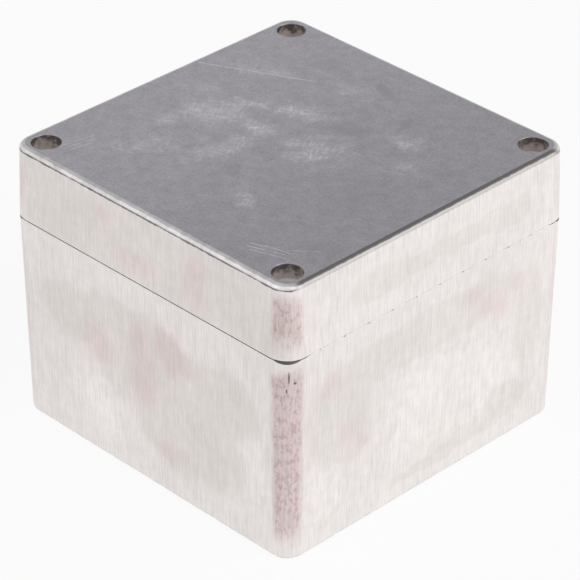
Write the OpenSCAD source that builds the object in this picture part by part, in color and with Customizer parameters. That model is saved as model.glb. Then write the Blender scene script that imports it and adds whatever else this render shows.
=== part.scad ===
// Die cast aluminium box: a deep base and a lifting lid, sealed by a gasket and
// closed by four captive screws sunk in the lid's corners.
// Frame: millimetres, +Z up, origin at the middle of the base's underside.

/* [Box] */
// Outside width along X, at the seam
box_w = 100; // [90:1:200]
// Outside depth along Y, at the seam
box_d = 100; // [90:1:200]
// Radius of the upright corners, at the seam
corner_r = 6; // [5:0.5:7]
// Thickness of the side walls at the seam
wall = 4.6; // [4.4:0.2:6]
// Gap that shows all round between the base and the lid
seam_gap = 0.3; // [0.2:0.1:0.5]
// Height of the flat dressed on each of the base's upper corners
relief_h = 0.7; // [0.4:0.1:1]
// How far that flat reaches in along the diagonal
relief_in = 0.95; // [0.6:0.05:1.2]

/* [Base] */
// Height of the base, up to the seam
base_h = 58.7; // [40:0.1:120]
// Thickness of the base's floor
floor_t = 4; // [3:0.5:8]
// Draft of the base's sides, in degrees
base_draft = 1; // [0.5:0.5:2]
// Radius of the edge round the base's underside
base_edge_r = 1; // [0.5:0.5:2]

/* [Lid] */
// Height of the lid, from the seam to its top
lid_h = 20.2; // [16:0.1:40]
// Thickness of the lid's top plate
lid_t = 4; // [3:0.5:6]
// Draft of the lid's sides, in degrees
lid_draft = 2; // [0.5:0.5:3]
// Radius of the edge round the lid's top
lid_edge_r = 1.4; // [0.5:0.1:2]

/* [Seal] */
// Width of the gasket's groove in the lid
groove_w = 2.4; // [2:0.2:3]
// Depth of the gasket's groove in the lid
groove_depth = 3.2; // [2.5:0.1:5]
// Width of the tongue on the base's rim
tongue_w = 1.2; // [0.8:0.1:1.6]
// Height of the tongue above the base's rim
tongue_h = 1.4; // [1:0.1:2]
// Radius of the corners along the middle of the seal's course
course_r = 3.4; // [3:0.1:5]

/* [Lid screws] */
// Distance of each screw's axis from the two outside faces
screw_inset = 7; // [7:0.5:9]
// Outside diameter of the screw's thread
thread_d = 4; // [3:0.5:5]
// Length of the screw under its head
screw_len = 20; // [16:1:25]
// Diameter of the screw's head
head_d = 7; // [6:0.5:8.5]
// Height of the screw's head
head_h = 2.6; // [2:0.1:4]
// Width of the screwdriver slot
slot_w = 1.2; // [0.8:0.1:1.6]
// Depth of the screwdriver slot
slot_depth = 1.2; // [0.8:0.1:1.5]
// Depth of the counterbore that the head sits in
head_sink = 7.5; // [5:0.5:10]
// Width of the bevel round each counterbore's mouth
mouth_bevel = 0.3; // [0.1:0.1:0.6]
// Clearance round the head in its counterbore
head_clearance = 0.25; // [0.2:0.05:0.5]
// Clearance round the screw in the lid's web
web_clearance = 0.25; // [0.1:0.05:0.5]
// Thickness of the web under the head
web_t = 3; // [2:0.5:5]
// Depth of the tapped hole in the base
tapped_depth = 10; // [8:1:30]

/* [Retaining rings] */
// Outside diameter of the ring that keeps a screw in the lid
ring_d = 7; // [6:0.5:7.4]
// Thickness of the ring
ring_t = 1.6; // [1:0.2:2]

/* [Wall fixings] */
// Distance along X from a lid screw to the wall fixing beside it
fixing_gap = 10.5; // [9:0.5:14]
// Diameter of the wall fixing hole in the floor
fixing_d = 4.5; // [4:0.5:6]
// Diameter of the well that takes the wall screw's head
well_d = 8; // [7:0.5:8.5]
// Thickness of metal left under the well
well_floor = 8; // [5:1:20]

/* [Plate bosses] */
// Spacing of the inside bosses along X
boss_gap_x = 70; // [50:5:74]
// Spacing of the inside bosses along Y
boss_gap_y = 50; // [30:5:54]
// Diameter of an inside boss
boss_d = 9; // [7:0.5:10]
// Height of an inside boss above the floor
boss_h = 8; // [4:1:20]
// Bore of a tapped boss, ready for an M4 screw
boss_bore = 3.3; // [2.5:0.1:4.2]

/* [Earth terminal] */
// Distance of the earth boss from the outside face on -Y
earth_inset = 14; // [13:1:25]
// Height of the earth boss above the floor
earth_boss_h = 6; // [5:1:15]
// Outside diameter of the earth screw's thread
earth_thread_d = 4; // [3:0.5:5]
// Outside diameter of the cable clamp
clamp_d = 8.6; // [8:0.2:9]
// Diameter of the earth screw's head
earth_head_d = 8; // [6:0.5:9]
// Length of the earth screw under its head
earth_len = 8; // [6:1:9]

/* [Hidden] */
$fn = 96;
eps = 0.01;                                         // overlap of pieces that fuse into one
overcut = 1;                                        // how far a cut runs past a face

thread_fit = 0.03;                                  // between a thread and its tapped hole
lid_z = base_h + seam_gap;                          // the lid's lower plane
top_z = lid_z + lid_h;                              // the top of the box
sink_d = head_d + 2 * head_clearance;               // the counterbore
screw_x = box_w / 2 - screw_inset;
screw_y = box_d / 2 - screw_inset;
fixing_x = screw_x - fixing_gap;
seat_z = top_z - head_sink;                         // where the screw heads bear
web_z = seat_z - web_t;                             // the web's underside
ring_z = lid_z + 0.2;                               // the ring's underside, screw done up
recess_d = ring_d + 0.6;                            // the ring's room under the web
land_d = recess_d + 2.4;                            // what the lid's corners bear on
lip = (wall - groove_w) / 2;                        // metal each side of the groove
gasket_z = base_h + tongue_h;                       // the gasket rests on the tongue
least_r = 0.1;                                      // of the course's outer corners, inset
earth_y = box_d / 2 - earth_inset;                  // from the middle, along -Y
earth_z = floor_t + earth_boss_h;
washer_t = 0.9;
clamp_t = 1.2;
earth_head_h = 2.4;
alloy = [0.74, 0.73, 0.72];
steel = [0.66, 0.66, 0.67];
rubber = [0.12, 0.12, 0.12];
nylon = [0.88, 0.87, 0.82];
tinned_brass = [0.80, 0.76, 0.62];

// The four corners as signs, counter-clockwise from the +X +Y one.
corners = [[1, 1], [-1, 1], [-1, -1], [1, -1]];

// ---- outlines ----

// Points of an arc that rounds the corner v of a right-angled outline, where the
// outline comes in along the unit vector a and goes out along b.
function round_corner(v, a, b, r, steps = 4) = [
    for (i = [0 : steps])
        let (t = 90 * i / steps)
        v + r * (b - a) + r * (a * sin(t) - b * cos(t))
];

// The seal's course: a rectangle with its corners stepped inwards past the posts.
// inset moves the whole line inwards, so one course serves tongue, groove and wall.
function stepped_outline(inset) =
    let (
        x = box_w / 2 - wall / 2 - inset,
        y = box_d / 2 - wall / 2 - inset,
        step_x = fixing_x - well_d / 2 - lip - groove_w / 2 - inset,
        step_y = screw_y - well_d / 2 - lip - groove_w / 2 - inset,
        outer_r = max(course_r - inset, least_r),
        inner_r = course_r + inset
    )
    concat(
        round_corner([x, step_y], [0, 1], [-1, 0], outer_r),
        round_corner([step_x, step_y], [-1, 0], [0, 1], inner_r),
        round_corner([step_x, y], [0, 1], [-1, 0], outer_r),
        round_corner([-step_x, y], [-1, 0], [0, -1], outer_r),
        round_corner([-step_x, step_y], [0, -1], [-1, 0], inner_r),
        round_corner([-x, step_y], [-1, 0], [0, -1], outer_r),
        round_corner([-x, -step_y], [0, -1], [1, 0], outer_r),
        round_corner([-step_x, -step_y], [1, 0], [0, -1], inner_r),
        round_corner([-step_x, -y], [0, -1], [1, 0], outer_r),
        round_corner([step_x, -y], [1, 0], [0, 1], outer_r),
        round_corner([step_x, -step_y], [0, 1], [1, 0], inner_r),
        round_corner([x, -step_y], [1, 0], [0, 1], outer_r)
    );

// A band of the seal's course, of the given width and height.
module seal_band(width, height) {
    linear_extrude(height)
        difference() {
            polygon(stepped_outline(-width / 2));
            polygon(stepped_outline(width / 2));
        }
}

// The hollow of a casting: the stepped outline, widening from z_narrow to z_wide
// by the draft, and carried on past z_wide by overcut to break through that face.
module drafted_hollow(z_narrow, z_wide, draft) {
    up = z_wide > z_narrow;
    rise = abs(z_wide - z_narrow);
    narrow = stepped_outline(wall / 2 + rise * tan(draft));
    wide = stepped_outline(wall / 2 - overcut * tan(draft));
    n = len(wide);
    translate([0, 0, up ? z_narrow : z_wide - overcut])
        polyhedron(
            points = concat(
                [for (p = up ? narrow : wide) [p[0], p[1], 0]],
                [for (p = up ? wide : narrow) [p[0], p[1], rise + overcut]]
            ),
            faces = concat(
                [[for (i = [0 : n - 1]) i]],
                [[for (i = [n - 1 : -1 : 0]) n + i]],
                [for (i = [0 : n - 1]) [i, n + i, n + (i + 1) % n, (i + 1) % n]]
            )
        );
}

// ---- outer shells ----

// Centre of the arc of radius r from a to b that bulges to the right of that way.
function arc_centre(a, b, r) =
    let (
        half = norm(b - a) / 2,
        way = (b - a) / (2 * half)
    )
    (a + b) / 2 + sqrt(r * r - half * half) * [-way[1], way[0]];

// Half section of a casting's rim: from the corner's axis out to the side, with
// the side leaning in by the draft from z_wide to z_narrow, where its edge is
// rounded. The arc is a tenth flatter than a tangent one, so it meets both faces
// at a clean edge, as on a linished casting.
module rim_section(z_wide, z_narrow, draft, edge_r) {
    up = z_narrow > z_wide ? 1 : -1;
    reach = corner_r - abs(z_narrow - z_wide) * tan(draft);
    sharp = [reach, z_narrow];
    flat_end = [reach - edge_r, z_narrow];
    side_end = [reach + edge_r * tan(draft), z_narrow - up * edge_r];
    centre = up > 0
        ? arc_centre(side_end, flat_end, 1.1 * edge_r)
        : arc_centre(flat_end, side_end, 1.1 * edge_r);
    polygon([[0, z_wide], [corner_r, z_wide], side_end, flat_end, [0, z_narrow]]);
    intersection() {
        translate(centre) circle(1.1 * edge_r);
        polygon([side_end, sharp, flat_end]);
    }
}

// A drafted block with round upright corners: a core, four sides and four corners.
module drafted_block(z_wide, z_narrow, draft, edge_r) {
    run_x = box_w - 2 * corner_r;
    run_y = box_d - 2 * corner_r;
    translate([-run_x / 2, -run_y / 2, min(z_wide, z_narrow)])
        cube([run_x, run_y, abs(z_narrow - z_wide)]);
    for (turn = [0, 180]) rotate(turn) {
        translate([-run_x / 2, run_y / 2, 0]) rotate([90, 0, 90])
            linear_extrude(run_x) rim_section(z_wide, z_narrow, draft, edge_r);
        translate([run_x / 2, run_y / 2, 0]) rotate([90, 0, 0])
            linear_extrude(run_y) rim_section(z_wide, z_narrow, draft, edge_r);
    }
    for (i = [0 : 3])
        translate([corners[i][0] * run_x / 2, corners[i][1] * run_y / 2, 0])
            rotate(90 * i)
                rotate_extrude(angle = 90) rim_section(z_wide, z_narrow, draft, edge_r);
}

// Places its children on the axis of each lid screw.
module at_screws() {
    for (c = corners) translate([c[0] * screw_x, c[1] * screw_y, 0]) children();
}

// ---- castings ----

// What dressing took off the base's rim at each corner: a sloping flat across the
// rounded corner, so it shows under the lid as a crescent.
module corner_relief_cut() {
    for (i = [0 : 3])
        translate([
            corners[i][0] * (box_w / 2 - corner_r),
            corners[i][1] * (box_d / 2 - corner_r),
            base_h
        ])
            rotate([90, 0, 45 + 90 * i])
                linear_extrude(2 * corner_r, center = true)
                    polygon([
                        [corner_r + relief_in, -2 * relief_h],
                        [corner_r + relief_in, relief_h],
                        [corner_r - 2 * relief_in, relief_h]
                    ]);
}

module base_casting() {
    color(alloy)
    difference() {
        union() {
            difference() {
                drafted_block(base_h, 0, base_draft, base_edge_r);
                drafted_hollow(floor_t, base_h, base_draft);
                corner_relief_cut();
            }
            translate([0, 0, base_h]) seal_band(tongue_w, tongue_h);
            at_screws() translate([0, 0, base_h - 1]) cylinder(h = 1 + seam_gap, d = land_d);
            for (x = [-1, 1], y = [-1, 1])
                translate([x * boss_gap_x / 2, y * boss_gap_y / 2, floor_t - 1])
                    cylinder(h = 1 + boss_h, d = boss_d);
            translate([0, -earth_y, floor_t - 1]) cylinder(h = 1 + earth_boss_h, d = boss_d);
        }
        at_screws() translate([0, 0, lid_z - tapped_depth])
            cylinder(h = tapped_depth + overcut, d = thread_d + 2 * thread_fit);
        for (x = [-1, 1], y = [-1, 1]) {
            translate([x * fixing_x, y * screw_y, -overcut])
                cylinder(h = well_floor + 2 * overcut, d = fixing_d);
            translate([x * fixing_x, y * screw_y, well_floor])
                cylinder(h = base_h, d = well_d);
            translate([x * boss_gap_x / 2, y * boss_gap_y / 2, floor_t + 1])
                cylinder(h = boss_h, d = boss_bore);
        }
        translate([0, -earth_y, earth_z - earth_len])
            cylinder(h = earth_len + overcut, d = earth_thread_d + 2 * thread_fit);
    }
}

module lid_casting() {
    color(alloy)
    difference() {
        drafted_block(lid_z, top_z, lid_draft, lid_edge_r);
        drafted_hollow(top_z - lid_t, lid_z, base_draft);
        translate([0, 0, lid_z - overcut]) seal_band(groove_w, overcut + groove_depth);
        at_screws() {
            translate([0, 0, seat_z]) cylinder(h = head_sink + overcut, d = sink_d);
            translate([0, 0, top_z - mouth_bevel])
                cylinder(h = 2 * mouth_bevel, d1 = sink_d, d2 = sink_d + 4 * mouth_bevel);
            translate([0, 0, lid_z - overcut]) cylinder(h = lid_h, d = thread_d + 2 * web_clearance);
            translate([0, 0, lid_z - overcut]) cylinder(h = overcut + web_z - lid_z, d = recess_d);
        }
    }
}

module lid_gasket() {
    color(rubber)
        translate([0, 0, gasket_z])
            seal_band(groove_w, lid_z + groove_depth - gasket_z);
}

// ---- fasteners ----

module lid_screw(i) {
    tip = 0.6;
    color(steel)
    translate([corners[i][0] * screw_x, corners[i][1] * screw_y, seat_z])
        difference() {
            union() {
                cylinder(h = head_h, d = head_d);
                translate([0, 0, tip - screw_len]) cylinder(h = screw_len - tip + eps, d = thread_d);
                translate([0, 0, -screw_len])
                    cylinder(h = tip + eps, d1 = thread_d - 2 * tip, d2 = thread_d);
            }
            translate([-head_d, -slot_w / 2, head_h - slot_depth])
                cube([2 * head_d, slot_w, slot_depth + overcut]);
        }
}

module retaining_ring(i) {
    color(nylon)
    translate([corners[i][0] * screw_x, corners[i][1] * screw_y, ring_z])
        difference() {
            cylinder(h = ring_t, d = ring_d);
            translate([0, 0, -overcut]) cylinder(h = ring_t + 2 * overcut, d = thread_d + 2 * thread_fit);
        }
}

// Height of the earth terminal's pieces, from the boss up.
clamp_z = earth_z;
spring_z = clamp_z + clamp_t;
earth_head_z = spring_z + washer_t;

module washer(outer_d, thickness) {
    difference() {
        cylinder(h = thickness, d = outer_d);
        translate([0, 0, -overcut])
            cylinder(h = thickness + 2 * overcut, d = earth_thread_d + 2 * web_clearance);
    }
}

module earth_clamp() {
    color(tinned_brass) translate([0, -earth_y, clamp_z]) washer(clamp_d, clamp_t);
}

module earth_spring_washer() {
    color(steel) translate([0, -earth_y, spring_z]) washer(clamp_d - 1, washer_t);
}

module earth_screw() {
    color(tinned_brass)
    translate([0, -earth_y, earth_head_z])
        difference() {
            union() {
                cylinder(h = earth_head_h, d = earth_head_d);
                translate([0, 0, -earth_len]) cylinder(h = earth_len + eps, d = earth_thread_d);
            }
            for (turn = [0, 90]) rotate(turn)
                translate([-earth_head_d / 4, -slot_w / 2, earth_head_h - slot_depth])
                    cube([earth_head_d / 2, slot_w, slot_depth + overcut]);
        }
}

base_casting();
lid_casting();
lid_gasket();
for (i = [0 : 3]) {
    lid_screw(i);
    retaining_ring(i);
}
earth_screw();
earth_spring_washer();
earth_clamp();
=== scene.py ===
import math

import bmesh
import bpy
import numpy as np
from mathutils import Matrix, Vector


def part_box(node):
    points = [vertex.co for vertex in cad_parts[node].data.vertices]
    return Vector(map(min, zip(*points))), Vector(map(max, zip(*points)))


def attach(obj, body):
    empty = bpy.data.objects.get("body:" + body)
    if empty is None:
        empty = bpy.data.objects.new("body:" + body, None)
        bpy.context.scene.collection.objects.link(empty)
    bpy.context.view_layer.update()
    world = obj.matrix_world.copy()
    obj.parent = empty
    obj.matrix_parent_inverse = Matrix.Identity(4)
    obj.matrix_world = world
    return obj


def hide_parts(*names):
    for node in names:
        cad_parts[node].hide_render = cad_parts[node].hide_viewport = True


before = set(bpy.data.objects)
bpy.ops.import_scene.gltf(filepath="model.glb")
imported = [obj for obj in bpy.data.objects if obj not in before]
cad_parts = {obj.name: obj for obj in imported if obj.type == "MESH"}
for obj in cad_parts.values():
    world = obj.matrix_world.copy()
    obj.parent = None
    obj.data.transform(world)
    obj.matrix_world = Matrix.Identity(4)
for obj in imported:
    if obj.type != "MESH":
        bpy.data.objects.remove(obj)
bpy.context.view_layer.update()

MM = 0.001
MERGE_DISTANCE = 2e-6    # metres

# ---- the box's own sizes, in millimetres, as its castings have them ----
HALF_WIDTH = 50.0
CORNER_RADIUS = 6.0
CORE = HALF_WIDTH - CORNER_RADIUS    # how far out the axes of the rounded corners stand
WALL = 4.6
LID_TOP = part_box("lid_casting")[1].z / MM
LID_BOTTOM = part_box("lid_casting")[0].z / MM
LID_EDGE = 1.4
LID_DRAFT = 2.0
SEAM_GAP = 0.3
RIM_TOP = LID_BOTTOM - SEAM_GAP
BASE_EDGE = 1.0
BASE_DRAFT = -1.0
RELIEF_DROP = 0.7
RELIEF_REACH = 0.95
RELIEF_SLOPE = RELIEF_DROP / RELIEF_REACH
RELIEF_TOP = RELIEF_DROP + RELIEF_SLOPE * (CORNER_RADIUS - 2 * RELIEF_REACH)
CORNER_SIGNS = [(1, 1), (-1, 1), (-1, -1), (1, -1)]
SCREW_AXIS = HALF_WIDTH - 7.0
BORE_RADIUS = 3.75
THREAD_RADIUS = 2.0
THREAD_PITCH = 0.7
THREAD_DEPTH = 0.42
HEAD_HEIGHT = 2.6
SLOT_WIDTH = 1.2
SLOT_DEPTH = 1.2
EARTH_HEAD = 2.4
EARTH_CROSS_ARM = 2.0
EARTH_HOLE = THREAD_RADIUS + 0.2
WELL_RADIUS = 4.0
WELL_FROM_SCREW = 10.5
SEAL_GROOVE = 2.4
SEAL_CORNER = 3.4


# ---- surfaces ----

def node_box(node):
    """The lowest and highest corners of a CAD node, in millimetres."""
    low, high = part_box(node)
    return low / MM, high / MM


def grid_quads(rows, columns, closed):
    """Quads of a grid of points: each point joins the next in its row and the same two a row on."""
    start = np.arange(rows - 1)[:, None] * columns
    here = np.arange(columns if closed else columns - 1)[None, :]
    after = (here + 1) % columns
    corners = [start + here, start + after, start + columns + after, start + columns + here]
    return np.stack(corners, -1).reshape(-1, 4)


def wear(piece, finish):
    """Gives a piece one finish in its only slot."""
    piece.data.materials.clear()
    piece.data.materials.append(finish)


def solid_piece(name, surfaces, body, node, finish, edge=0.0, sharp=35.0):
    """One closed piece from (points, quads) surfaces in millimetres: doubles merged, faces turned
    outwards, edges over sharp degrees kept, and broken by a bevel of edge millimetres."""
    points, quads, count = [], [], 0
    for surface_points, surface_quads in surfaces:
        points.append(surface_points.reshape(-1, 3))
        quads.append(surface_quads + count)
        count += len(points[-1])
    mesh = bpy.data.meshes.new(name)
    mesh.from_pydata((np.concatenate(points) * MM).tolist(), [], np.concatenate(quads).tolist())
    work = bmesh.new()
    work.from_mesh(mesh)
    bmesh.ops.remove_doubles(work, verts=work.verts, dist=MERGE_DISTANCE)
    bmesh.ops.dissolve_degenerate(work, edges=work.edges, dist=MERGE_DISTANCE / 2)
    bmesh.ops.recalc_face_normals(work, faces=work.faces)
    work.to_mesh(mesh)
    work.free()
    mesh.shade_smooth()
    mesh.set_sharp_from_angle(angle=math.radians(sharp))
    piece = bpy.data.objects.new(name, mesh)
    bpy.context.scene.collection.objects.link(piece)
    if edge:
        soften(piece, edge)
    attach(piece, body)
    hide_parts(node)
    wear(piece, finish)
    return piece


def soften(piece, edge):
    """Breaks the edges of a piece that turn by over 40 degrees, with a bevel of edge millimetres."""
    bevel = piece.modifiers.new("edge_break", "BEVEL")
    bevel.limit_method = "ANGLE"
    bevel.angle_limit = math.radians(40.0)
    bevel.width = edge * MM
    bevel.segments = 2
    bevel.harden_normals = True


def revolved(profile, centre, steps=64):
    """A profile of (radius, height) points turned about the upright axis through centre."""
    profile = np.asarray(profile, float)
    turn = np.linspace(0, 2 * np.pi, steps, endpoint=False)
    x = profile[:, :1] * np.cos(turn)
    y = profile[:, :1] * np.sin(turn)
    z = np.repeat(profile[:, 1:], steps, 1)
    points = np.stack([x, y, z], -1) + np.asarray(centre, float)
    return points, grid_quads(len(profile), steps, True)


def threaded_shank(length, centre, steps=28, rows_a_turn=8):
    """An M4 shank. Its radius falls from the crest by a trapezoid wave of height over pitch less
    turn, and tapers at the tip."""
    flank_slope, crest_width, tip_loss = 1.4, 0.2, 0.55
    rows = int(length / THREAD_PITCH * rows_a_turn) + 1
    height = np.linspace(-length, 0, rows)[:, None]
    turn = np.linspace(0, 2 * np.pi, steps, endpoint=False)[None, :]
    phase = np.mod(height / THREAD_PITCH - turn / (2 * np.pi), 1.0)
    groove = np.clip(flank_slope * (1 - np.abs(2 * phase - 1)) - crest_width, 0, 1)
    tip = THREAD_RADIUS - tip_loss + (height + length)
    r = np.minimum(THREAD_RADIUS - THREAD_DEPTH * groove, tip)
    r[0] = 0.0
    r[-1] = 0.0
    points = np.stack([r * np.cos(turn), r * np.sin(turn), height + 0 * turn], -1)
    return points + np.asarray(centre, float), grid_quads(rows, steps, True)


def slotted_head(radius, height, centre, turned, steps=40):
    """A section across the slot carried along it: its half width is the chord of the round head."""
    along = radius * np.sin(np.linspace(-np.pi / 2, np.pi / 2, steps))
    chord = np.sqrt(np.maximum(radius ** 2 - along ** 2, 0))
    wall = np.minimum(SLOT_WIDTH / 2, chord)
    low, floor, high = 0 * chord, 0 * chord + height - SLOT_DEPTH, 0 * chord + height
    across = np.stack([-chord, -chord, -chord, -wall, -wall, wall, wall, chord, chord, chord], 1)
    up = np.stack([low, floor, high, high, floor, floor, high, high, floor, low], 1)
    shut = chord <= SLOT_WIDTH / 2
    up[shut] = np.minimum(up[shut], height - SLOT_DEPTH)
    x = across * math.cos(turned) - along[:, None] * math.sin(turned)
    y = across * math.sin(turned) + along[:, None] * math.cos(turned)
    points = np.stack([x, y, up], -1) + np.asarray(centre, float)
    return points, grid_quads(steps, across.shape[1], True)


def crossed_head(radius, height, centre, steps=96, rings=30):
    """Height over a disc: flat with a rolled rim, less a cross recess with sloping walls."""
    rim, slope = 0.9, 0.12
    r = radius * np.sin(np.linspace(0, np.pi / 2, rings))[:, None]
    turn = np.linspace(0, 2 * np.pi, steps, endpoint=False)[None, :]
    x, y = r * np.cos(turn), r * np.sin(turn)
    roll = np.clip((r - (radius - rim)) / rim, 0, 1)
    top = height - rim + rim * np.sqrt(np.maximum(1 - roll ** 2, 0)) + 0 * turn

    def arm(along, across):
        ends = np.clip((EARTH_CROSS_ARM - np.abs(along)) / slope, 0, 1)
        return ends * np.clip((SLOT_WIDTH / 2 - np.abs(across)) / slope, 0, 1)

    z = top - SLOT_DEPTH * np.maximum(arm(x, y), arm(y, x))
    foot = np.stack([x[-1], y[-1], 0 * z[-1]], -1)
    middle = np.zeros_like(foot)
    points = np.concatenate([np.stack([x, y, z], -1), np.stack([foot, middle])])
    return points + np.asarray(centre, float), grid_quads(rings + 2, steps, True)


def carried(section, path, outward, closed=True):
    """A section of (outward, upward) points carried along a path, each held square by outward."""
    section = np.asarray(section, float)
    points = path[:, None, :] + outward[:, None, :] * section[None, :, :1]
    points[:, :, 2] += section[None, :, 1]
    if closed:
        points = np.concatenate([points, points[:1]])
    return points, grid_quads(len(points), len(section), True)


def round_corner(corner, into, out, radius, steps=8):
    """An arc from the line into the corner to the line out of it."""
    turn = np.linspace(0, np.pi / 2, steps)[:, None]
    corner, into, out = (np.asarray(v, float) for v in (corner, into, out))
    return corner + radius * (out - into) + radius * (into * np.sin(turn) - out * np.cos(turn))


def seal_course():
    """The gasket's middle line: a rectangle whose corners step inwards past the posts and wells."""
    lip = (WALL - SEAL_GROOVE) / 2
    clear = WELL_RADIUS + lip + SEAL_GROOVE / 2
    side = HALF_WIDTH - WALL / 2
    step_x, step_y = SCREW_AXIS - WELL_FROM_SCREW - clear, SCREW_AXIS - clear
    east, north, west, south = (1, 0), (0, 1), (-1, 0), (0, -1)
    corners = [
        ((side, step_y), north, west), ((step_x, step_y), west, north), ((step_x, side), north, west),
        ((-step_x, side), west, south), ((-step_x, step_y), south, west), ((-side, step_y), west, south),
        ((-side, -step_y), south, east), ((-step_x, -step_y), east, south), ((-step_x, -side), south, east),
        ((step_x, -side), east, north), ((step_x, -step_y), north, east), ((side, -step_y), east, north),
    ]
    return np.concatenate([round_corner(*corner, SEAL_CORNER) for corner in corners])


# ---- node helpers ----

def add(tree, kind, inputs=None, **settings):
    """Adds a node: settings are its properties, inputs its sockets' values or their sources."""
    made = tree.nodes.new(kind)
    for key, value in settings.items():
        setattr(made, key, value)
    for key, value in (inputs or {}).items():
        feed_socket(tree, made.inputs[key], value)
    return made


def feed_socket(tree, socket, value):
    """Links a socket to the one that value is, or else gives it that value."""
    if isinstance(value, bpy.types.NodeSocket):
        tree.links.new(value, socket)
    else:
        socket.default_value = value


def calc(tree, operation, *values, clamp=False):
    """One step of arithmetic."""
    inputs = dict(enumerate(values))
    return add(tree, "ShaderNodeMath", inputs, operation=operation, use_clamp=clamp).outputs[0]


def plus(tree, first, second):
    return calc(tree, "ADD", first, second)


def minus(tree, first, second):
    return calc(tree, "SUBTRACT", first, second)


def times(tree, product, *others):
    """The product of all its values."""
    for value in others:
        product = calc(tree, "MULTIPLY", product, value)
    return product


def strongest(tree, masks):
    """The greatest of several masks."""
    total = masks[0]
    for mask in masks[1:]:
        total = calc(tree, "MAXIMUM", total, mask)
    return total


def vector(tree, operation, *values):
    """One step of vector arithmetic."""
    made = add(tree, "ShaderNodeVectorMath", dict(enumerate(values)), operation=operation)
    return made.outputs["Value" if operation in ("LENGTH", "DOT_PRODUCT") else "Vector"]


def scaled(tree, value, amount):
    """A vector or colour times a number."""
    inputs = {0: value, "Scale": amount}
    return add(tree, "ShaderNodeVectorMath", inputs, operation="SCALE").outputs[0]


def turned_place(tree, place, angle):
    """A place turned about the upright axis."""
    inputs = {"Vector": place, "Angle": angle}
    return add(tree, "ShaderNodeVectorRotate", inputs, rotation_type="Z_AXIS").outputs[0]


def ramp(tree, value, low, high, start=0.0, end=1.0):
    """A soft step: start below low, end above high."""
    inputs = {0: value, 1: low, 2: high, 3: start, 4: end}
    return add(tree, "ShaderNodeMapRange", inputs, interpolation_type="SMOOTHSTEP").outputs[0]


def beyond(tree, distance, limit, blur):
    """1 where a distance is over limit and 0 under it, softly from blur below to blur above. The
    limit and the blur are in millimetres."""
    return ramp(tree, distance, (limit - blur) * MM, (limit + blur) * MM)


def within(tree, distance, limit, blur):
    """1 where a distance is under limit and 0 over it, as soft as beyond."""
    return ramp(tree, distance, (limit - blur) * MM, (limit + blur) * MM, 1.0, 0.0)


def noise(tree, place, scale, detail=2.0, rough=0.5):
    """A cloudy field about a half."""
    inputs = {"Vector": place, "Scale": scale, "Detail": detail, "Roughness": rough}
    return add(tree, "ShaderNodeTexNoise", inputs).outputs[0]


def spread(tree, value, amount):
    """How far value is from a half, times amount."""
    return times(tree, minus(tree, value, 0.5), amount)


def swing(tree, value, amount):
    """1 plus the spread of value."""
    return plus(tree, 1.0, spread(tree, value, amount))


def blend(tree, factor, first, second, **settings):
    """The first colour, and the second as far as factor goes."""
    made = add(tree, "ShaderNodeMix", {"Factor": factor}, data_type="RGBA", **settings)
    for socket, value in ((made.inputs[6], first), (made.inputs[7], second)):
        feed_socket(tree, socket, (*value, 1.0) if isinstance(value, tuple) else value)
    return made.outputs[2]


def share(tree, factor, colour, part):
    """Colour times a share of it, as far as factor goes."""
    return blend(tree, factor, colour, part, blend_type="MULTIPLY")


def blend_value(tree, factor, first, second):
    """The first number, and the second as far as factor goes."""
    return add(tree, "ShaderNodeMix", {0: factor, 2: first, 3: second}, data_type="FLOAT").outputs[0]


def split(tree, place):
    """The three parts of a place."""
    return add(tree, "ShaderNodeSeparateXYZ", {0: place}).outputs


def make_group(name, inputs, outputs, build):
    """A shader node group with named sockets. build(tree, inputs) gives the outputs by name."""
    tree = bpy.data.node_groups.new(name, "ShaderNodeTree")
    kinds = {"v": "NodeSocketVector", "f": "NodeSocketFloat", "c": "NodeSocketColor"}
    for side, sockets in (("INPUT", inputs), ("OUTPUT", outputs)):
        for label, kind in sockets:
            tree.interface.new_socket(label, in_out=side, socket_type=kinds[kind])
    entry, leave = tree.nodes.new("NodeGroupInput"), tree.nodes.new("NodeGroupOutput")
    for label, socket in build(tree, entry.outputs).items():
        tree.links.new(socket, leave.inputs[label])
    return tree


def use(tree, group, **inputs):
    """Places a group and gives its outputs."""
    return add(tree, "ShaderNodeGroup", inputs, node_tree=group).outputs


# ---- effects that several finishes share ----

def build_wander(tree, given):
    """Moves a place about by a cloudy field, so that outlines waver."""
    inputs = {"Vector": given["Place"], "Scale": given["Scale"], "Detail": 3.0}
    field = add(tree, "ShaderNodeTexNoise", inputs).outputs["Color"]
    push = scaled(tree, vector(tree, "SUBTRACT", field, (0.5, 0.5, 0.5)), given["Amount"])
    return {"Place": vector(tree, "ADD", given["Place"], push)}


def build_patch(tree, given):
    """An oval patch: strength at its centre, nought on its outline and less outside."""
    apart = vector(tree, "SUBTRACT", given["Place"], given["Centre"])
    turned = turned_place(tree, apart, given["Angle"])
    reach = vector(tree, "LENGTH", vector(tree, "DIVIDE", turned, given["Radii"]))
    return {"Field": times(tree, minus(tree, 1.0, reach), given["Strength"])}


def build_smear(tree, given):
    """Rubbed metal inside a field: clouds broken into fine strokes that run two ways."""
    cloud = noise(tree, given["Place"], 170.0, 6.0, 0.68)
    ways = []
    for angle in (-24, 58):
        turned = turned_place(tree, given["Place"], math.radians(angle))
        ways.append(noise(tree, vector(tree, "MULTIPLY", turned, (0.20, 1.0, 1.0)), 1500.0, 4.0, 0.7))
    soft = ramp(tree, plus(tree, given["Field"], spread(tree, cloud, 2.2)), -0.05, 1.0)
    edged = ramp(tree, strongest(tree, ways), 0.46, 0.68, 0.25, 1.25)
    inside = ramp(tree, given["Field"], -0.25, 0.15)
    return {"Mask": times(tree, soft, edged, inside)}


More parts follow.
